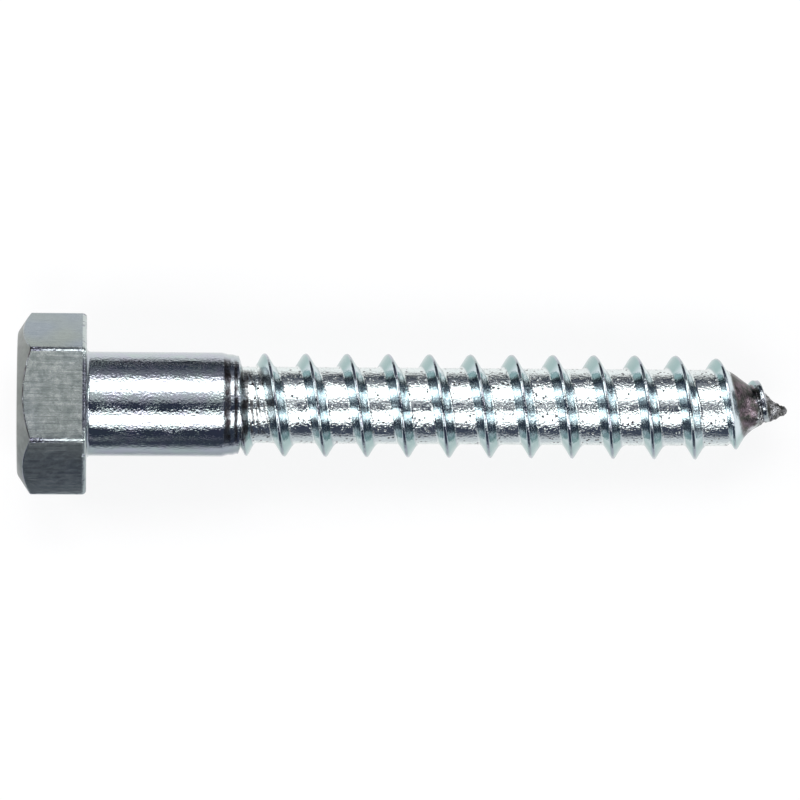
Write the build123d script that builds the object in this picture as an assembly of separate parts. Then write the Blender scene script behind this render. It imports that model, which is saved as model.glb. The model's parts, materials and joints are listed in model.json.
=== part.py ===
from build123d import *
import os
from math import asin, atan2, cos, degrees, hypot, pi, radians, sin, sqrt, tan

# Lag screw, 3/8 in by 2-1/2 in: hex head, coarse wood thread and gimlet point, zinc plated steel.
# Millimetres. The real screw is one piece of steel, forged at the head and rolled at the thread, so it
# is one solid here. It is built upright along its own axis, with the bearing face of the head at z = 0
# and the point at +Z, and then laid down the way it comes to rest on a flat surface.

# Hex head
across_flats = 14.0
head_height = 6.15
top_circle_d = 12.2        # the flat circle inside the chamfer of the head's top
top_chamfer_deg = 30.0
bearing_edge_round = 0.38  # the six edges round the bearing face

# Shank
shank_d = 9.15
shank_length = 12.0        # the straight stretch under the head
neck_round = 0.35          # the small hollow between the bearing face and the shank
shoulder_taper = 0.3       # how far the shank's end draws in, on the radius
shoulder_length = 1.4      # over this length
shoulder_drop = 0.45       # and then falls to the thread's root over this length

# Coarse wood thread, right-hand
length = 61.8              # under the head, to the end of the point
pitch = 25.4 / 7
root_d = 6.72
first_thread_d = 9.1       # over the crests next to the shank
last_thread_d = 9.34       # over the last full crests
crest_deg = 42.0           # each side of the blunt crest
crest_depth = 0.6          # from the crest down to the steeper flanks
flank_deg = 30.0           # each side of the 60 degree ridge
first_crest = 15.69        # the first full crest in line with a corner of the head
thread_start = 0.45        # from the end of the straight shank to where the ridge is born
thread_rise = 2.3          # from there until the ridge has its full height

# Gimlet point
point_half_deg = 29.0      # the core's cone
tip_d = 0.75               # its blunt end
nose_length = 7.2          # the crests fall away over this length
nose_end = 1.3             # from where the ridge dies out to the end of the point

# How the ridge's surfaces are drawn
steps_per_turn = 12        # points on each helix
steps_per_span = 3         # and how many of them one surface spans
sink = 0.15                # how deep the ridge's underside lies in the core

hollow = 1 - sqrt(0.5)     # where a quarter circle of radius 1 stands off its two tangents
root_r = root_d / 2
shank_r = shank_d / 2
shoulder_z = shank_length + shoulder_length
point_slope = tan(radians(point_half_deg))
cone_z = length - (root_r - tip_d / 2) / point_slope
ridge_start_z = shank_length + thread_start
ridge_end_z = length - nose_end


def hex_head():
    """The hex prism with a rounded bearing side, cut by the cone that chamfers its top."""
    outline = RegularPolygon(across_flats / 2, 6, major_radius=False, rotation=30)
    prism = extrude(outline, head_height)
    prism = fillet(prism.faces().sort_by(Axis.Z)[-1].edges(), bearing_edge_round)
    below = 2 * head_height  # the cone runs on well past the prism
    wide_r = top_circle_d / 2 + below / tan(radians(top_chamfer_deg))
    rims = [Edge.make_circle(top_circle_d / 2), Edge.make_circle(wide_r, Plane(origin=(0, 0, below)))]
    blank = Solid(Shell([Face.make_surface_from_curves(*rims)] + [Face(Wire(rim)) for rim in rims]))
    return Pos(0, 0, -head_height) * (prism & blank)


def turned_body():
    """Shank, shoulder, the core under the thread and the cone of the point, from one turned profile."""
    inside_head = (0, -head_height / 2)
    neck = [(neck_round, 0), (hollow * neck_round, hollow * neck_round), (0, neck_round)]
    neck = [(shank_r + out, z) for out, z in neck]
    shoulder = [(shank_r, shank_length), (shank_r - shoulder_taper, shoulder_z)]
    core = [(root_r, shoulder_z + shoulder_drop), (root_r, cone_z), (tip_d / 2, length)]
    inside_head = [(0, -head_height / 2), (shank_r + neck_round, -head_height / 2)]
    profile = Polyline(*inside_head, *neck, *shoulder, *core, (0, length), close=True)
    return revolve(Plane.XZ * make_face(profile), Axis.Z)


def eased(x):
    """From 0 to 1 with a level start and end, as x goes from 0 to 1."""
    x = min(max(x, 0), 1)
    return x * x * (3 - 2 * x)


def core_radius(z):
    """The root of the thread, and the cone of the point."""
    return min(root_r, tip_d / 2 + (length - z) * point_slope)


def crest_radius(z):
    """The crest climbs out of the shoulder, runs nearly level, and falls to just under the cone."""
    nose_z = ridge_end_z - nose_length
    along = min(max((z - ridge_start_z) / (nose_z - ridge_start_z), 0), 1)
    full = (first_thread_d + (last_thread_d - first_thread_d) * along) / 2
    if z > nose_z:
        end = core_radius(ridge_end_z) - sink / 2
        return full - (full - end) * ((z - nose_z) / nose_length) ** 2
    born = shank_r - shoulder_taper * thread_start / shoulder_length - sink
    born = min(born, full - sink)
    return born + (full - born) * eased((z - ridge_start_z) / thread_rise)


def ridge_section(z):
    """The ridge cut through the axis: each corner's distance from its middle, and radius."""
    crest_r, base_r = crest_radius(z), core_radius(z) - sink
    depth = min(crest_depth, (crest_r - base_r) / 2)
    knee = depth * tan(radians(crest_deg))
    base = min(knee + (crest_r - base_r - depth) * tan(radians(flank_deg)), 0.47 * pitch)
    return [(-base, base_r), (-knee, crest_r - depth), (0, crest_r), (knee, crest_r - depth), (base, base_r)]


def thread_ridge():
    """The helical ridge as a closed shell, ruled between the helices of its section's corners."""
    spans = round((ridge_end_z - ridge_start_z) / pitch * steps_per_turn / steps_per_span)
    steps = spans * steps_per_span
    rails = [[] for corner in ridge_section(ridge_start_z)]
    for step in range(steps + 1):
        z = ridge_start_z + (ridge_end_z - ridge_start_z) * step / steps
        turn = pi / 2 + 2 * pi * (z - first_crest) / pitch
        for rail, (u, r) in zip(rails, ridge_section(z)):
            rail.append(Vector(r * cos(turn), r * sin(turn), z + u))

    def direction(rail, step):
        return rail[min(step + 1, steps)] - rail[max(step - 1, 0)]

    faces = [Face(Wire.make_polygon([rail[step] for rail in rails])) for step in (0, steps)]
    for first in range(0, steps, steps_per_span):
        last = first + steps_per_span
        edges = [
            Edge.make_spline(rail[first : last + 1], [direction(rail, first), direction(rail, last)])
            for rail in rails
        ]
        faces += [Face.make_surface_from_curves(a, b) for a, b in zip(edges, edges[1:] + edges[:1])]
    return Solid(Shell(faces))


def laid_to_rest(screw):
    """Lies on one flat of the head and on the crest that touches first as the point tips down."""
    foot_x, foot_z = across_flats / 2 - bearing_edge_round, -bearing_edge_round
    tilts = []
    crest_z = first_crest - pitch / 4
    while crest_z < ridge_end_z:
        fall, run = foot_x - crest_radius(crest_z), crest_z - foot_z
        tilts.append(atan2(fall, run) + asin(bearing_edge_round / hypot(fall, run)))
        crest_z += pitch
    tilt = min(tilts)
    lift = foot_x * cos(tilt) + foot_z * sin(tilt) + bearing_edge_round
    screw = Pos(0, 0, lift) * Rot(0, 90 + degrees(tilt), 0) * screw
    return Pos(-screw.bounding_box().center().X, 0, 0) * screw


lag_screw = laid_to_rest(hex_head() + turned_body() + thread_ridge())
lag_screw.label = "lag_screw"
os.makedirs("parts", exist_ok=True)
export_step(lag_screw, "parts/lag_screw.step")
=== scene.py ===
import bpy
import bmesh
import json
from math import asin, atan2, cos, exp, floor, hypot, pi, radians, sin, sqrt, tan
from mathutils import Matrix, Vector, noise


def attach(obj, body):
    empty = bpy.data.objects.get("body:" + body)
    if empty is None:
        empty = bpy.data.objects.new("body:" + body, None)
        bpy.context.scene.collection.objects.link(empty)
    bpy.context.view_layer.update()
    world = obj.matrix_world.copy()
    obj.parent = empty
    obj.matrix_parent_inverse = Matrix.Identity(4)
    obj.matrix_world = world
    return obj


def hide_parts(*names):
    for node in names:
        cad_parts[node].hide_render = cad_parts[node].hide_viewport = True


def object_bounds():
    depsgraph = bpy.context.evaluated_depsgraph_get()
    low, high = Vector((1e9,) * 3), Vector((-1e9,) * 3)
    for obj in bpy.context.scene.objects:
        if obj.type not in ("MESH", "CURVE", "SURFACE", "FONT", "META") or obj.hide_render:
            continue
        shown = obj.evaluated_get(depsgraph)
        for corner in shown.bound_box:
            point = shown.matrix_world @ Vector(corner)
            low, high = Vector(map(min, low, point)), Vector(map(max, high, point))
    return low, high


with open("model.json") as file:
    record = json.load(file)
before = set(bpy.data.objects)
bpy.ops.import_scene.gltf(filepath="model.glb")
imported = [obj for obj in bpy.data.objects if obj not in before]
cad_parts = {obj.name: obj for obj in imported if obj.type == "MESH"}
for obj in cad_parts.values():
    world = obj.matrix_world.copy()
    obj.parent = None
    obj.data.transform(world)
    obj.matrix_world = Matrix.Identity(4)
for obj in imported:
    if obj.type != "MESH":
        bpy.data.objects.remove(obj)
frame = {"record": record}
cad_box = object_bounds()

# Lag screw. One piece of low carbon steel: the hex head is cold forged on the end of the wire, and the
# coarse thread and the gimlet point are rolled between dies, which leaves a fine seam along the crest.
# It is built upright, with the bearing face of its head at z = 0 and its point at +Z, and then laid down.
mm = 0.001
mounts = {mount["name"]: mount for mount in frame["record"]["mounts"]}
shank_mount = mounts["shank"]

# the head, how far out its rounded corners begin, and how hard each flat was drawn, going round
across_flats = 14.0 * mm
head_height = 6.05 * mm
hex_corner_round = 0.48 * mm
hex_corner_from = across_flats / 2 * 1.12
flats_drawn = (0.6, 0.45, 0.25, 0.35, 0.45, 0.6)
top_r = 6.2 * mm
chamfer_slope = tan(radians(33))
chamfer_edge_round = 0.07 * mm
top_edge_round = 0.2 * mm
bearing_edge_round = 0.38 * mm

# the shank, with a small hollow where it meets the head
shank_r = shank_mount["dims"]["r_mm"] * mm
root_r = 3.36 * mm
neck_round = 0.35 * mm
neck_steps = 6
shoulder_back = 0.2 * mm
shank_length = shank_mount["dims"]["length_mm"] * mm + neck_round - shoulder_back

# the shoulder where the rolled thread begins: mm past the shank, and how far the surface has dropped there
shoulder = (
    (0, 0), (0.08, 0.01), (0.6, 0.15), (1.0, 0.16), (1.3, 0.25), (1.5, 0.26), (1.68, 0.7), (1.78, 1.1),
    (1.88, (shank_r - root_r) / mm),
)
# its stains, from and to so many mm past the shank, with soft edges that waver round the screw
shoulder_stains = ((0.15, 0.75), (1.02, 1.36), (1.6, 2.3))
stain_edge = 0.06
stain_waver = 0.09
wavers_round = 5
wavers_per_metre = 1200

# the thread and the point: where the first crest passes the side at +Y, and how much closer than a pitch
# the crests before it lie
length = 61.8 * mm
pitch = 25.4 / 7 * mm
first_crest = 15.49 * mm
start_crowding = 1.2
first_crest_r = 4.55 * mm
last_crest_r = 4.61 * mm
thread_start = shank_length + 0.45 * mm
thread_rise = 2.3 * mm
thread_start_sunk = 0.3 * mm
thread_end = length - 1.3 * mm
thread_end_sunk = 0.1 * mm
nose = thread_end - 7.2 * mm
nose_curve = 2.3
point_slope = tan(radians(29))
tip_r = 0.375 * mm
flank_slope = 1 / tan(radians(31))
least_flank = 0.3 * mm
crest_half_width = 0.09 * mm
crest_edge_round = 0.12 * mm
# a thread's foot is soft on the side of the point, all but the last one, and sharp on the side of the head
foot_round = 0.35 * mm
sharp_foot_round = 0.1 * mm
least_foot_round = 0.08 * mm
last_foot_stretch = (nose + 3 * mm, nose + 3.7 * mm, nose + 4.3 * mm, nose + 4.9 * mm)
seam_depth = 0.04 * mm
seam_half_width = 0.04 * mm
seam_off_middle = 0.04 * mm
# a crest lower than these has a fainter seam, and sharper feet
full_seam_height = 0.6 * mm
full_foot_height = 0.9 * mm

# the first root keeps grooves from the dies' first bite, each at its place before the first crest in mm,
# and fine streaks that slant a little and break up as they go round
first_root_stretch = (shank_length + 1.8 * mm, shank_length + 2.1 * mm, first_crest, first_crest + mm)
first_bites = (-0.95, -1.5)
first_bite_depth = 0.09 * mm
first_bite_half_width = 0.09 * mm
streak_height = 0.05 * mm
streaks_per_metre = 5000
streak_slant = 3
streak_breaks = 1.5

# the point's last turn is torn where it was pinched off: its crest is crowded, with a groove at its foot,
# and a small nub hangs on at the end, behind a waist and a little off the axis
torn_crest = first_crest + 12 * pitch
torn_crowding = 1.8
torn_slimming = 0.2 * mm
torn_half_width = 0.34 * mm
torn_cut = 0.25 * mm
torn_groove = 0.13 * mm
torn_groove_back = 0.62 * mm
torn_groove_half_width = 0.2 * mm
torn_grain = 0.11 * mm
torn_grain_size = 0.35 * mm
nub_r = 0.4 * mm
nub_off_axis = 0.22 * mm
nub_waist = length - 0.62 * mm
nub_waist_depth = 0.06 * mm
nub_waist_half_width = 0.1 * mm

# where each finish comes in or goes out, as a share of the way up a flank, or in mm past the shank
flank_from = (0.06, 0.2)
crest_from = (0.9, 0.97)
root_until = (0.02, 0.15)
# the cone of the point is painted dark, a painted dark reflection, up to this share of a flank
painted_dark_cone_until = (0.04, 0.12)
first_flank = (1.9, 2.2)
streaks_from = (1.9, 2.1)
shoulder_foot = (1.6, 1.8)
bright_roots_until = (3, 4.5)
# and how far round the screw they reach, where 1 is uppermost: the flanks' painted highlight, a little
# further down on the near side, and the stains
flanks_painted_highlight = (0.56, 0.8)
near_flanks_painted_highlight = (0.46, 0.8)
stains_seen = (0.45, 0.7)


def between(x, a, b):
    """From 0 to 1 with a level start and end, as x goes from a to b."""
    x = min(max((x - a) / (b - a), 0), 1)
    return x * x * (3 - 2 * x)


def until(x, a, b):
    """From 1 to 0 with a level start and end, as x goes from a to b."""
    return between(-x, -b, -a)


def within(x, a, b, c, d):
    """From 0 to 1 as x goes from a to b, and back to 0 as it goes from c to d."""
    return between(x, a, b) * until(x, c, d)


def hump(x, middle, half_width):
    """1 at the middle, falling away to 0 on both sides."""
    return exp(-(((x - middle) / half_width) ** 2))


def rounded_max(a, b, width):
    """The larger of two heights, with the hollow between them rounded over that width."""
    h = max(width - abs(a - b), 0) / width
    return max(a, b) + h * h * width / 4


def shoulder_drop(z):
    """How far the surface has dropped below the shank."""
    past = (z - shank_length) / mm
    for (a, low), (b, high) in zip(shoulder, shoulder[1:]):
        if past < b:
            return (low + (high - low) * max(past - a, 0) / (b - a)) * mm
    return shoulder[-1][1] * mm


def core_radius(z):
    """The shank, its shoulder, the core under the thread and the cone of the point."""
    cone = tip_r + (length - z) * point_slope
    cone -= torn_slimming * between(z, torn_crest - 2.2 * mm, torn_crest - 0.7 * mm)
    cone -= nub_waist_depth * hump(z, nub_waist, nub_waist_half_width)
    nub_z = length - nub_r
    nub = sqrt(max(nub_r**2 - (z - nub_z) ** 2, 0))
    cone = max(cone, nub) if z < nub_z else nub
    return min(shank_r - shoulder_drop(z), cone)


def crest_radius(z):
    """The crest climbs out of the shoulder, runs nearly level, and falls away along the point."""
    along = min(max((z - thread_start) / (nose - thread_start), 0), 1)
    full = first_crest_r + (last_crest_r - first_crest_r) * along
    if z > nose:
        end = tip_r + (length - thread_end) * point_slope - thread_end_sunk
        fall = full - (full - end) * ((z - nose) / (thread_end - nose)) ** nose_curve
        return fall - torn_slimming * between(z, torn_crest, torn_crest + mm)
    start = shank_r - thread_start_sunk
    return start + (full - start) * between(z, thread_start, thread_start + thread_rise)


def thread_form(z, angle):
    """The surface's radius at a height and an angle round the axis, and its share of the way up a flank."""
    crowding = torn_crowding if z > torn_crest else start_crowding if z < first_crest else 1
    middle = torn_crest if z > torn_crest else first_crest
    turns = (z - middle) * crowding / pitch - (angle - pi / 2) / (2 * pi)
    off = (turns - round(turns)) * pitch
    core = core_radius(z)
    crest_z = z - off / crowding
    if not thread_start - pitch < crest_z < thread_end + pitch:
        return core, 0
    crest = crest_radius(crest_z)
    widened = between(z, torn_crest - mm, torn_crest)
    half_width = crest_half_width + (torn_half_width - crest_half_width) * widened
    ridge = crest - rounded_max(abs(off) - half_width, 0, crest_edge_round) * flank_slope
    seam = hump(off, -seam_off_middle, seam_half_width)
    ridge -= seam_depth * seam * between(crest - core, 0, full_seam_height)
    last_foot = within(z, *last_foot_stretch)
    soft = foot_round + (sharp_foot_round - foot_round) * (last_foot if off > 0 else 1)
    soft = soft * between(crest - core, 0, full_foot_height) + least_foot_round
    r = rounded_max(core, ridge, soft)
    for bite in first_bites:
        groove = hump(off, bite * mm, first_bite_half_width)
        r -= first_bite_depth * groove * within(z, *first_root_stretch)
    groove = hump(off, -torn_groove_back, torn_groove_half_width)
    r -= torn_groove * groove * between(z, torn_crest - 1.3 * mm, torn_crest - 0.7 * mm)
    return r, min(max((r - core) / max(crest - core, least_flank), 0), 1)


screw = bmesh.new()
flank_mask = screw.verts.layers.float.new("flank")
root_mask = screw.verts.layers.float.new("root")
stain_and_shade_mask = screw.verts.layers.float.new("stain")
torn_and_painted_shade_mask = screw.verts.layers.float.new("torn")
painted_highlight_mask = screw.verts.layers.float.new("bright")
drawn_mask = screw.faces.layers.float.new("drawn")
head_group = screw.verts.layers.deform.new("head")

# the thread's surface: one pitch of profile, spun once round along the helix, and repeated past the point;
# half the profile is given in mm from its crest, in closer steps where it curves most
steps_per_turn = 96
half = [0, 0.04, 0.08, 0.13, 0.2, 0.3, 0.4, 0.5, 0.6, 0.7, 0.8, 0.9, 1.0, 1.12, 1.26, 1.42, 1.6]
offsets = [-pitch / 2] + [-x * mm for x in reversed(half[1:])] + [x * mm for x in half] + [pitch / 2]
ribbon_start = first_crest - 2 * pitch
profile = [screw.verts.new((0, root_r, ribbon_start + off)) for off in offsets]
edges = [screw.edges.new(pair) for pair in zip(profile, profile[1:])]
bmesh.ops.spin(
    screw, geom=profile + edges, cent=(0, 0, 0), axis=(0, 0, 1), angle=2 * pi,
    dvec=(0, 0, pitch / steps_per_turn), steps=steps_per_turn, use_merge=False,
)
one_turn = screw.verts[:] + screw.edges[:] + screw.faces[:]
for turn in range(1, floor((length - ribbon_start) / pitch) + 2):
    copy = bmesh.ops.duplicate(screw, geom=one_turn)["geom"]
    verts = [g for g in copy if isinstance(g, bmesh.types.BMVert)]
    bmesh.ops.translate(screw, verts=verts, vec=(0, 0, turn * pitch))
weld = 0.001 * mm
bmesh.ops.remove_doubles(screw, verts=screw.verts, dist=weld)

# cut square at the shank and at the point
shank_cut = shank_length - 0.1 * mm
tip_cut = length - 0.12 * mm
cut_slack = 0.0001 * mm
for z, below, above in ((shank_cut, True, False), (tip_cut, False, True)):
    bmesh.ops.bisect_plane(
        screw, geom=screw.verts[:] + screw.edges[:] + screw.faces[:], dist=cut_slack,
        plane_co=(0, 0, z), plane_no=(0, 0, 1), clear_inner=below, clear_outer=above,
    )

# more rings over the shoulder, the torn end and the first root: where each set starts, how many there are
# and how far apart; each is cut only through the faces within its reach
ring_reach = 0.6 * mm
ring_sets = (
    (shank_length, 21, 0.1 * mm),
    (torn_crest, 25, 0.1 * mm),
    (shank_length + 2 * mm, 26, 0.05 * mm),
)
for lowest, count, apart in ring_sets:
    for i in range(count):
        z = lowest + apart * i
        near = [v for v in screw.verts if abs(v.co.z - z) < ring_reach]
        faces = list(dict.fromkeys(face for vert in near for face in vert.link_faces))
        edges = list(dict.fromkeys(edge for face in faces for edge in face.edges))
        verts = list(dict.fromkeys(vert for face in faces for vert in face.verts))
        bmesh.ops.bisect_plane(
            screw, geom=verts + edges + faces, dist=cut_slack, plane_co=(0, 0, z), plane_no=(0, 0, 1),
        )

# every point moves out to the thread's surface, and learns how much it has of each finish
for vert in screw.verts:
    z = vert.co.z
    angle = atan2(vert.co.y, vert.co.x)
    up, near = -cos(angle), -sin(angle)
    r, share = thread_form(z, angle)
    past = (z - shank_length) / mm

    # the streaked first root
    low = 1 - between(share, 0.1, 0.5)
    first_root = between(past, *streaks_from) * low * until(z, first_crest, first_crest + mm)
    spot = Vector((z * streaks_per_metre - angle * streak_slant, angle * streak_breaks, 0))
    streak = noise.noise(spot)
    r += streak_height * first_root * streak

    # the torn end, and before it the cone of the point, which begins along the helix; the cone is painted
    # dark, a painted dark reflection, which fades on its near side
    torn = between(z, torn_crest - 0.5 * mm, torn_crest + 0.5 * mm)
    past_half_turn = max(angle % (2 * pi) / (2 * pi) - 0.5, 0)
    end = between(z - past_half_turn * pitch, nose + 3.2 * mm, nose + 3.5 * mm)
    cone = end * (1 - between(share, *painted_dark_cone_until)) * (1 - torn)
    cone *= 1 - 0.6 * between(near, 0.8, 0.95)
    vert[torn_and_painted_shade_mask] = max(torn * (1 - 0.7 * between(share, 0.3, 0.7)), 2 * cone)

    # the flanks, with a painted highlight along the top, and the roots
    flank = between(share, *flank_from) * (1 - between(share, *crest_from))
    flank *= (1 - torn) * between(past, *first_flank)
    vert[flank_mask] = flank
    vert[painted_highlight_mask] = flank * between(up, *(near_flanks_painted_highlight if angle < 0 else flanks_painted_highlight))
    root = (1 - between(share, *root_until)) * between(past, *shoulder_foot) * (1 - cone)
    vert[root_mask] = root * (1 + 0.6 * until(past, *bright_roots_until))

    # the stains on the shoulder and in the first root's streaks, and painted shade in the crease at the last
    # foot
    wavy = past + stain_waver * noise.noise(Vector((angle * wavers_round, z * wavers_per_metre, 0)))
    stain = max(within(wavy, a, a + stain_edge, b - stain_edge, b) for a, b in shoulder_stains)
    stain = max(stain, 0.9 * first_root * between(streak, -0.05, 0.15)) * between(up, *stains_seen)
    # a dark line of painted shade in the crease at the foot of the last flank, kept with the stains
    last_foot = end * until(z, nose + 4.8 * mm, nose + 5.2 * mm) * hump(share, 0.12, 0.1)
    vert[stain_and_shade_mask] = max(stain, last_foot)

    # the torn end's rough grain, and its lean to one side
    r -= torn * share * torn_cut * between(near, 0.1, 0.9)
    x, y = r * cos(angle), r * sin(angle)
    grain = noise.fractal(Vector((x, y, z)) / torn_grain_size, 0.7, 2, 3) * torn * torn_grain
    grain *= 1 - 0.8 * between(share, 0.3, 0.7)
    x, y = (r + grain) * cos(angle), (r + grain) * sin(angle)
    lean = nub_off_axis * between(z, torn_crest + 0.8 * mm, torn_crest + 1.5 * mm)
    vert.co.x, vert.co.y = x, y - lean


def rim(z):
    """The open edges at one height."""
    level = [e for e in screw.edges if all(abs(v.co.z - z) < weld for v in e.verts)]
    return [e for e in level if e.is_boundary]


def grow(edges, z, r, y=0.0):
    """Extrudes a rim to another height and radius, about a line at that y, and returns its new edges."""
    made = bmesh.ops.extrude_edge_only(screw, edges=edges)["geom"]
    for vert in [g for g in made if isinstance(g, bmesh.types.BMVert)]:
        vert.co = Vector((vert.co.x, vert.co.y - y, 0)).normalized() * r + Vector((0, y, z))
    return [g for g in made if isinstance(g, bmesh.types.BMEdge) and g.is_boundary]


# the plain shank, and the hollow where it meets the head
edges = rim(shank_cut)
for part in (0.75, 0.5, 0.25):
    edges = grow(edges, neck_round + (shank_length - neck_round) * part, shank_r)
for step in range(neck_steps + 1):
    swept = pi / 2 * step / neck_steps
    edges = grow(edges, neck_round * (1 - sin(swept)), shank_r + neck_round * (1 - cos(swept)))
neck_rim = edges

# the rounded end of the nub: rings so many mm back from its tip, with a share of its radius
edges = rim(tip_cut)
for back, share in ((0.05, 0.5), (0.01, 0.25)):
    edges = grow(edges, length - back * mm, nub_r * share, -nub_off_axis)
bmesh.ops.edgeloop_fill(screw, edges=edges)

# the hex head, with the edges between its wrench flats rounded
corner = bmesh.ops.create_circle(screw, cap_ends=True, segments=6, radius=across_flats / sqrt(3))["verts"]
bmesh.ops.translate(screw, verts=corner, vec=(0, 0, -head_height))
bmesh.ops.bevel(
    screw, geom=corner, offset=hex_corner_round * tan(radians(30)), offset_type="OFFSET", segments=5,
    profile=0.5, affect="VERTICES", material=-1,
)


def largest_face(z):
    """The largest face that lies at one height."""
    level = [f for f in screw.faces if all(abs(v.co.z - z) < weld for v in f.verts)]
    return max(level, key=lambda face: face.calc_area())


def up_at(vert):
    """How far round the screw a point lies, from 1 uppermost to -1 underneath."""
    return -vert.co.x / hypot(vert.co.x, vert.co.y)


# its long sides get more points, so that the chamfer can curve across them
sides = [e for e in largest_face(-head_height).edges if e.calc_length() > across_flats / 4]
bmesh.ops.subdivide_edges(screw, edges=sides, cuts=14)
outline = largest_face(-head_height)
made = bmesh.ops.extrude_face_region(screw, geom=[outline], use_keep_orig=True)["geom"]
raised = [g for g in made if isinstance(g, bmesh.types.BMVert)]
bmesh.ops.translate(screw, verts=raised, vec=(0, 0, head_height))
flats = [f for e in outline.edges for f in e.link_faces if f is not outline]
bearing_rim = list(largest_face(0).edges)
for vert in {vert for edge in bearing_rim for vert in edge.verts}:
    vert[stain_and_shade_mask] = between(up_at(vert), 0.9, 0.92)

# the chamfer turned on its top, which cuts curved edges into the flats
chamfer_ring = list(outline.verts)
chamfer_rim = list(outline.edges)
made = bmesh.ops.extrude_face_region(screw, geom=[outline], use_keep_orig=True)["geom"]
bmesh.ops.delete(screw, geom=[outline], context="FACES_ONLY")
top = next(g for g in made if isinstance(g, bmesh.types.BMFace))
for vert in top.verts:
    vert.co = Vector((vert.co.x, vert.co.y, 0)).normalized() * top_r - Vector((0, 0, head_height))
for vert in chamfer_ring:
    vert[stain_and_shade_mask] = 0.4 + 0.6 * between(up_at(vert), 0.8, 0.87)
    vert.co.z = -head_height + (hypot(vert.co.x, vert.co.y) - top_r) * chamfer_slope

# which finish each face has, numbered in the order in which the materials are made below
plating, drawn_flat, forged, rubbed_edge = range(4)
for face in screw.faces:
    if face.calc_center_median().z < 0:
        face.material_index = forged
for face in flats:
    middle = face.calc_center_median()
    at_corner = hypot(middle.x, middle.y) > hex_corner_from
    face.material_index = rubbed_edge if at_corner else drawn_flat
    sixth = round(atan2(middle.y, middle.x) / radians(60))
    face[drawn_mask] = flats_drawn[sixth % 6]

# the head's edges are rounded: by how much, in how many steps, and with which finish
rounded_edges = (
    (bearing_rim, bearing_edge_round, 5, rubbed_edge),
    (chamfer_rim, chamfer_edge_round, 3, plating),
    (list(top.edges), top_edge_round, 3, forged),
)
for ring, size, segments, its_finish in rounded_edges:
    made = bmesh.ops.bevel(
        screw, geom=ring, offset=size, offset_type="OFFSET", segments=segments,
        profile=0.5, affect="EDGES", material=-1,
    )["faces"]
    for face in made:
        face.material_index = its_finish

# the head is closed round the shank, and its points are grouped for the flat shading below
for vert in {vert for face in screw.faces if face.calc_center_median().z < 0 for vert in face.verts}:
    vert[head_group][0] = 1
bearing = largest_face(0)
loop = list(bearing.edges)
bmesh.ops.delete(screw, geom=[bearing], context="FACES_ONLY")
bmesh.ops.triangle_fill(screw, edges=loop + neck_rim, use_beauty=True, normal=(0, 0, 1))
bmesh.ops.recalc_face_normals(screw, faces=screw.faces)

# laid down the way it comes to rest, on a flat of its head and one crest
axis = Vector(shank_mount["axis"]).normalized()
middle = Vector(shank_mount["pos_m"])
seat = middle + axis * (Vector(mounts["bearing_face"]["pos_m"]) - middle).dot(axis)
side = Vector((0, 1, 0))
laid = Matrix((side.cross(axis), side, axis)).transposed().to_4x4()
laid.translation = seat
bmesh.ops.transform(screw, matrix=laid, verts=screw.verts)

mesh = bpy.data.meshes.new("lag_screw_body")
screw.to_mesh(mesh)
screw.free()
mesh.shade_smooth()
lag_screw = bpy.data.objects.new("lag_screw_body", mesh)
bpy.context.scene.collection.objects.link(lag_screw)
lag_screw.vertex_groups.new(name="head")
weighted = lag_screw.modifiers.new("flat_shading", "WEIGHTED_NORMAL")
weighted.weight = 100
weighted.vertex_group = "head"


def add(tree, kind, inputs=None, **settings):
    """A node with its settings, and its inputs as values or as the sockets that feed them."""
    node = tree.nodes.new(kind)
    for name, value in settings.items():
        setattr(node, name, value)
    for name, value in (inputs or {}).items():
        if isinstance(value, bpy.types.NodeSocket):
            tree.links.new(value, node.inputs[name])
        else:
            node.inputs[name].default_value = value
    return node


def scaled(tree, value, low, high, at=(0, 1)):
    """A value carried from one range to another."""
    inputs = {"Value": value, "From Min": at[0], "From Max": at[1], "To Min": low, "To Max": high}
    return add(tree, "ShaderNodeMapRange", inputs).outputs["Result"]


def maths(tree, operation, a, b):
    """The result of one operation on two values."""
    return add(tree, "ShaderNodeMath", {0: a, 1: b}, operation=operation).outputs["Value"]


def mixed(tree, share, a, b):
    """One colour going over to another."""
    return add(tree, "ShaderNodeMix", {"Factor": share, "A": a, "B": b}, data_type="RGBA").outputs[2]


def grain_at(tree, place, scale, detail, roughness=0.6):
    """A field of soft random spots, so many to the metre, from 0 to 1."""
    inputs = {"Vector": place, "Scale": scale, "Detail": detail, "Roughness": roughness}
    return add(tree, "ShaderNodeTexNoise", inputs).outputs["Fac"]


def finish(name, roughness):
    """A metal with its own node tree and shader, and the point on the piece."""
    material = bpy.data.materials.new(name)
    material.use_nodes = True
    shader = material.node_tree.nodes["Principled BSDF"]
    shader.inputs["Metallic"].default_value = 1
    shader.inputs["Roughness"].default_value = roughness
    mesh.materials.append(material)
    return material.node_tree, shader, add(material.node_tree, "ShaderNodeTexCoord").outputs["Object"]


def filmed(tree, place):
    """What the zinc film puts out at each point of a finish."""
    return add(tree, "ShaderNodeGroup", {"Place": place}, node_tree=film).outputs


def raised_by(tree, shader, height, depth):
    """Raises a finish by its height, where 1 stands for that depth."""
    bump = add(tree, "ShaderNodeBump", {"Height": height, "Distance": depth, "Strength": 1})
    tree.links.new(bump.outputs["Normal"], shader.inputs["Normal"])


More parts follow.
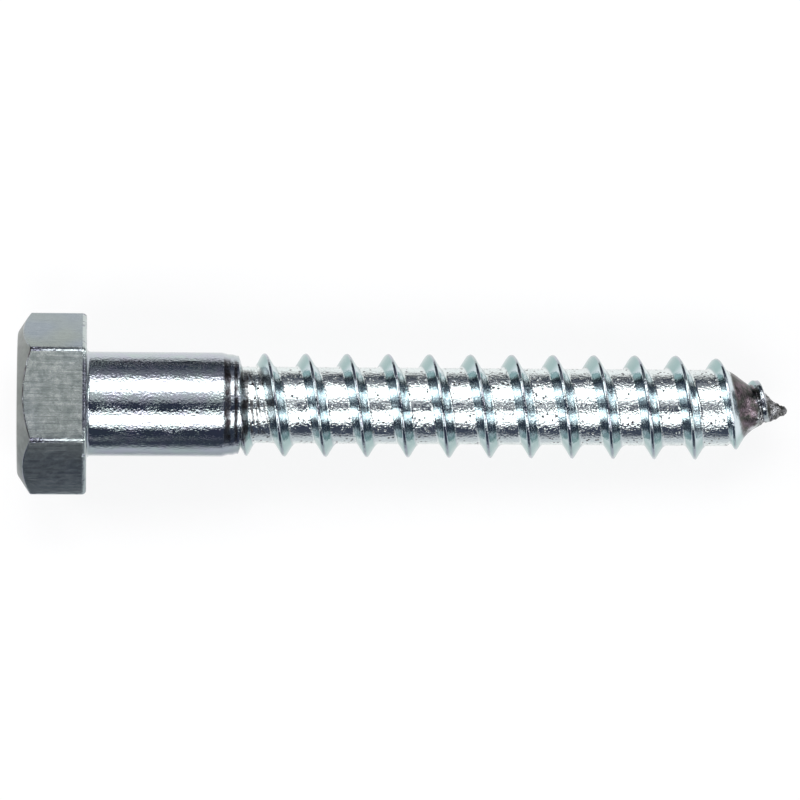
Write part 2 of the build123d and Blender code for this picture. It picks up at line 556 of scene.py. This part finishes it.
# the zinc film: bright and faintly blue, drifting from violet to green, with a few pits and the soft peel
# that the bath leaves
zinc_violet = (0.49, 0.51, 0.575, 1)
zinc_green = (0.48, 0.555, 0.55, 1)
film = bpy.data.node_groups.new("zinc_film", "ShaderNodeTree")
film.interface.new_socket("Place", in_out="INPUT", socket_type="NodeSocketVector")
film.interface.new_socket("Peel", in_out="OUTPUT", socket_type="NodeSocketFloat")
film.interface.new_socket("Tint", in_out="OUTPUT", socket_type="NodeSocketColor")
film.interface.new_socket("Pits", in_out="OUTPUT", socket_type="NodeSocketFloat")
place = film.nodes.new("NodeGroupInput").outputs["Place"]
peel = grain_at(film, place, 4800, 2.5)
depth = scaled(film, grain_at(film, place, 420, 2), 0.6, 1.3, at=(0.35, 0.65))
drift = scaled(film, grain_at(film, place, 650, 2), 0, 1, at=(0.36, 0.64))
tint = mixed(film, drift, zinc_violet, zinc_green)
ends = film.nodes.new("NodeGroupOutput").inputs
film.links.new(maths(film, "MULTIPLY", maths(film, "SUBTRACT", peel, 0.5), depth), ends["Peel"])
film.links.new(tint, ends["Tint"])
cells = add(film, "ShaderNodeTexVoronoi", {"Vector": place, "Scale": 2300}).outputs["Distance"]
few = scaled(film, grain_at(film, place, 900, 2), 0, 1, at=(0.42, 0.52))
film.links.new(maths(film, "MULTIPLY", scaled(film, cells, 1, 0, at=(0.12, 0.3)), few), ends["Pits"])

# the shank, the thread and the point: smooth teal flanks with a painted highlight along the top, paler roots
# with the bath's peel, a stained shoulder, painted shade at the last foot, and a torn, scraped end, with the
# cone before it painted dark as a painted dark reflection
root_pale = (0.80, 0.86, 0.85, 1)
flank_teal = (0.34, 0.485, 0.48, 1)
# a painted highlight, laid on the flanks along the top of the screw
flank_painted_highlight = (0.66, 0.75, 0.79, 1)
# near black, for the stains and pits and for the painted shade at the last foot
dark_stain_and_shade = (0.05, 0.042, 0.046, 1)
# the scraped end's colours, also laid on the cone of the point as a painted dark reflection
scrape_and_shade_violet = (0.19, 0.14, 0.165, 1)
scrape_and_shade_dark = (0.07, 0.072, 0.065, 1)
tree, shader, place = finish("zinc_plating", 0.07)
masks = {}
for name in ("flank", "bright", "root", "stain", "torn"):
    masks[name] = add(tree, "ShaderNodeAttribute", attribute_name=name).outputs["Fac"]
coat = filmed(tree, place)
spots = scaled(tree, grain_at(tree, place, 1500, 3), 0, 1, at=(0.38, 0.58))
# the stains, with the painted shade at the last foot
stain = maths(tree, "MULTIPLY", masks["stain"], scaled(tree, spots, 0.55, 1))
# this holds both the torn end and the painted dark reflection on the cone of the point
torn = scaled(tree, maths(tree, "MULTIPLY", masks["torn"], scaled(tree, spots, 0.45, 1)), 0, 1)
pits = maths(tree, "MULTIPLY", masks["root"], coat["Pits"])
colour = mixed(tree, masks["root"], coat["Tint"], root_pale)
colour = mixed(tree, masks["flank"], colour, flank_teal)
# the painted highlight along the top of the flanks
colour = mixed(tree, masks["bright"], colour, flank_painted_highlight)
# the stains and pits, with the painted shade at the last foot, go over to near black
colour = mixed(tree, maths(tree, "MAXIMUM", stain, pits), colour, dark_stain_and_shade)
# the torn end's scrape, and the painted dark reflection on the cone of the point
scrape_and_shade = mixed(tree, spots, scrape_and_shade_violet, scrape_and_shade_dark)
colour = mixed(tree, torn, colour, scrape_and_shade)
tree.links.new(colour, shader.inputs["Base Color"])
rough = maths(tree, "ADD", scaled(tree, masks["root"], 0.07, 0.13), scaled(tree, masks["flank"], 0, 0.04))
rough = maths(tree, "ADD", rough, maths(tree, "MULTIPLY", maths(tree, "MAXIMUM", stain, torn), 0.2))
tree.links.new(rough, shader.inputs["Roughness"])
depth = maths(tree, "SUBTRACT", scaled(tree, masks["root"], 1, 1.45), scaled(tree, masks["flank"], 0, 0.6))
height = maths(tree, "MULTIPLY", coat["Peel"], depth)
height = maths(tree, "SUBTRACT", height, maths(tree, "MULTIPLY", pits, 1.2))
raised_by(tree, shader, height, 0.037 * mm)

# the wrench flats, drawn lengthwise through the die, some harder than others, and then plated: the softest
# drawn one keeps the most of its coat
worn_dark = (0.25, 0.285, 0.275, 1)
worn_light = (0.58, 0.61, 0.58, 1)
coat_blue = (0.28, 0.335, 0.385, 1)
coat_green = (0.31, 0.36, 0.34, 1)
line_stretch = 0.03
tree, shader, place = finish("drawn_flats", 0.26)
settings = {"Vector": place, "Rotation": (0, asin(-axis.z), 0), "Scale": (line_stretch, 1, 1)}
lengthwise = add(tree, "ShaderNodeMapping", settings).outputs["Vector"]
drawn = add(tree, "ShaderNodeAttribute", attribute_name="drawn").outputs["Fac"]
lines = maths(tree, "SUBTRACT", grain_at(tree, lengthwise, 5000, 4, 0.65), 0.5)
mottle = grain_at(tree, place, 1600, 5, 0.7)
blotches = maths(tree, "ADD", mottle, maths(tree, "MULTIPLY", lines, 0.45))
drift = scaled(tree, grain_at(tree, place, 180, 1), 0, 1, at=(0.4, 0.6))
height = maths(tree, "MULTIPLY", lines, drawn)
height = maths(tree, "ADD", height, maths(tree, "MULTIPLY", maths(tree, "SUBTRACT", mottle, 0.5), 0.5))
raised_by(tree, shader, height, 0.03 * mm)
worn = mixed(tree, scaled(tree, blotches, 0, 1, at=(0.34, 0.68)), worn_dark, worn_light)
tint = mixed(tree, drift, coat_blue, coat_green)
kept = scaled(tree, drawn, 0.85, 0.25, at=(0.25, 0.35))
tree.links.new(mixed(tree, kept, worn, tint), shader.inputs["Base Color"])

# the forged top and its turned chamfer, matt and darker
forged_dark = (0.17, 0.18, 0.165, 1)
forged_light = (0.26, 0.275, 0.26, 1)
tree, shader, place = finish("forged_top", 0.36)
coat = filmed(tree, place)
mottle = grain_at(tree, place, 1100, 5)
raised_by(tree, shader, mottle, 0.04 * mm)
worn = mixed(tree, scaled(tree, mottle, 0, 1, at=(0.3, 0.7)), forged_dark, forged_light)
tree.links.new(mixed(tree, 0.1, worn, coat["Tint"]), shader.inputs["Base Color"])

# the edges of the head, nicked and rubbed bright in the tumbling drum
rubbed_bright = (0.5, 0.56, 0.55, 1)
edge_stain = (0.11, 0.11, 0.15, 1)
tree, shader, place = finish("rubbed_edges", 0.12)
coat = filmed(tree, place)
nicks = scaled(tree, grain_at(tree, place, 1300, 2), 0, 1, at=(0.36, 0.44))
raised_by(tree, shader, maths(tree, "ADD", coat["Peel"], nicks), 0.05 * mm)
rubbed = mixed(tree, nicks, coat["Tint"], rubbed_bright)
stain = add(tree, "ShaderNodeAttribute", attribute_name="stain").outputs["Fac"]
stain = maths(tree, "MULTIPLY", stain, scaled(tree, nicks, 1, 0.85))
tree.links.new(mixed(tree, stain, rubbed, edge_stain), shader.inputs["Base Color"])

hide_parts("lag_screw")
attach(lag_screw, "root")

# Floor. A plain pale sheet that the screw lies on, just clear of it. The camera and the bright metal see it
# mostly as white, and the rest of it keeps the screw's soft shadow.
sheet_reach = 0.6
sheet_gap = 0.01 * mm
sheet_grey = (0.93, 0.93, 0.93, 1)
seen_white = 0.8
floor_mesh = bpy.data.meshes.new("floor")
sheet = bmesh.new()
bmesh.ops.create_grid(sheet, x_segments=1, y_segments=1, size=sheet_reach)
bmesh.ops.translate(sheet, verts=sheet.verts, vec=(0, 0, cad_box[0].z - sheet_gap))
sheet.to_mesh(floor_mesh)
sheet.free()
floor_sheet = bpy.data.objects.new("floor", floor_mesh)
bpy.context.scene.collection.objects.link(floor_sheet)
paper = bpy.data.materials.new("floor_paper")
paper.use_nodes = True
tree = paper.node_tree
shader = tree.nodes["Principled BSDF"]
shader.inputs["Base Color"].default_value = sheet_grey
shader.inputs["Roughness"].default_value = 0.9
shader.inputs["Specular IOR Level"].default_value = 0
rays = add(tree, "ShaderNodeLightPath").outputs
seen = maths(tree, "MAXIMUM", rays["Is Glossy Ray"], rays["Is Transmission Ray"])
seen = maths(tree, "MAXIMUM", rays["Is Camera Ray"], seen)
white = add(tree, "ShaderNodeEmission", {"Color": (1, 1, 1, 1), "Strength": 1}).outputs["Emission"]
whitened = maths(tree, "MULTIPLY", seen, seen_white)
washed = add(tree, "ShaderNodeMixShader", {0: whitened, 1: shader.outputs["BSDF"], 2: white})
tree.links.new(washed.outputs["Shader"], tree.nodes["Material Output"].inputs["Surface"])
floor_mesh.materials.append(paper)

# Studio. Two soft boxes hang over the screw, one on each side of the camera, with a dim panel between
# them and brighter ends beyond both ends of the screw. Low cards beside it, which only its bright metal
# sees, draw its edges, and a grey sheet on the floor near it, seen by the metal alone, is a painted shadow.
centre = (cad_box[0] + cad_box[1]) / 2
lamp_distance = 0.25
# each with its lean and spread across the screw in degrees, its place and length along it, and how bright
# it looks
lamps = (
    ("soft_box_far", 35.5, 27, 0, 0.26, 3.7),
    ("soft_box_near", -41.2, 26.6, 0, 0.26, 3.7),
    ("dim_panel", 11, 20, 0, 0.26, 0.66),
    ("dim_edge", 62, 25, 0, 0.26, 0.22),
    ("far_head_end", 32, 44, -0.4, 0.34, 5),
    ("far_point_end", 32, 44, 0.54, 0.34, 5),
    ("near_head_end", -51, 42, -0.4, 0.34, 5),
    ("near_point_end", -51, 42, 0.54, 0.34, 5),
)
for name, lean, spread, along, lamp_length, radiance in lamps:
    lamp = bpy.data.lights.new(name, "AREA")
    lamp.shape = "RECTANGLE"
    lamp.size = lamp_length
    lamp.size_y = 2 * lamp_distance * tan(radians(spread / 2))
    lamp.energy = radiance * pi * lamp.size * lamp.size_y
    holder = bpy.data.objects.new(name, lamp)
    aim = Vector((0, sin(radians(lean)), cos(radians(lean))))
    holder.location = centre + aim * lamp_distance + Vector((along, 0, 0))
    holder.rotation_euler = aim.to_track_quat("Z", "Y").to_euler()
    holder.visible_camera = False
    bpy.context.scene.collection.objects.link(holder)

# each with its place across the screw, its height, its width, how many degrees it is turned up, and its grey
card_length = 0.2
cards = (
    ("card_far", 29 * mm, 4.5 * mm, 9 * mm, 90, (0.02, 0.025, 0.035)),
    ("card_near", -21 * mm, 4.5 * mm, 9 * mm, 90, (0.045, 0.055, 0.085)),
    # a grey sheet lying on the floor on the near side, which only the metal sees: a painted shadow of the
    # screw there
    ("painted_shadow_sheet", -14 * mm, 0.05 * mm, 13 * mm, 0, (0.55, 0.57, 0.59)),
)
for name, y, z, width, turned_up, grey in cards:
    card_paper = bpy.data.materials.new(name)
    card_paper.use_nodes = True
    shader = card_paper.node_tree.nodes["Principled BSDF"]
    shader.inputs["Base Color"].default_value = (*grey, 1)
    shader.inputs["Roughness"].default_value = 1
    card_mesh = bpy.data.meshes.new(name)
    card = bmesh.new()
    bmesh.ops.create_grid(card, x_segments=1, y_segments=1, size=0.5)
    bmesh.ops.scale(card, verts=card.verts, vec=(card_length, width, 1))
    bmesh.ops.rotate(card, verts=card.verts, matrix=Matrix.Rotation(radians(turned_up), 3, "X"))
    bmesh.ops.translate(card, verts=card.verts, vec=(0, y, z))
    card.to_mesh(card_mesh)
    card.free()
    card_mesh.materials.append(card_paper)
    holder = bpy.data.objects.new(name, card_mesh)
    holder.visible_camera = holder.visible_diffuse = holder.visible_shadow = False
    bpy.context.scene.collection.objects.link(holder)

# the dim bluish room around it all
room_colour = (0.045, 0.054, 0.085, 1)
room = bpy.data.worlds.new("room")
room.use_nodes = True
background = room.node_tree.nodes["Background"]
background.inputs["Color"].default_value = room_colour
background.inputs["Strength"].default_value = 1
bpy.context.scene.world = room

# Camera. It stands close and nearly straight above the screw, a little to its near side and towards its
# head, and aims just beside the middle of its box.
camera_data = bpy.data.cameras.new("camera")
camera = bpy.data.objects.new("camera", camera_data)
bpy.context.scene.collection.objects.link(camera)
elevation = radians(83.5)
camera_lean = radians(-0.9)
camera_distance = 0.45
toward = Vector((sin(camera_lean), -cos(elevation), sin(elevation))).normalized()
aimed_at = centre + Vector((-0.19, 0.36, 0)) * mm
camera.location = aimed_at + toward * camera_distance
right = side.cross(toward).normalized()
upright = Matrix((right, toward.cross(right), toward)).transposed()
camera.rotation_euler = upright.to_euler()
shown_width = 70.2 * mm
camera_data.lens = camera_data.sensor_width * camera_distance / shown_width
camera_data.clip_end = 10
bpy.context.scene.camera = camera
bpy.context.scene.view_settings.view_transform = "Standard"
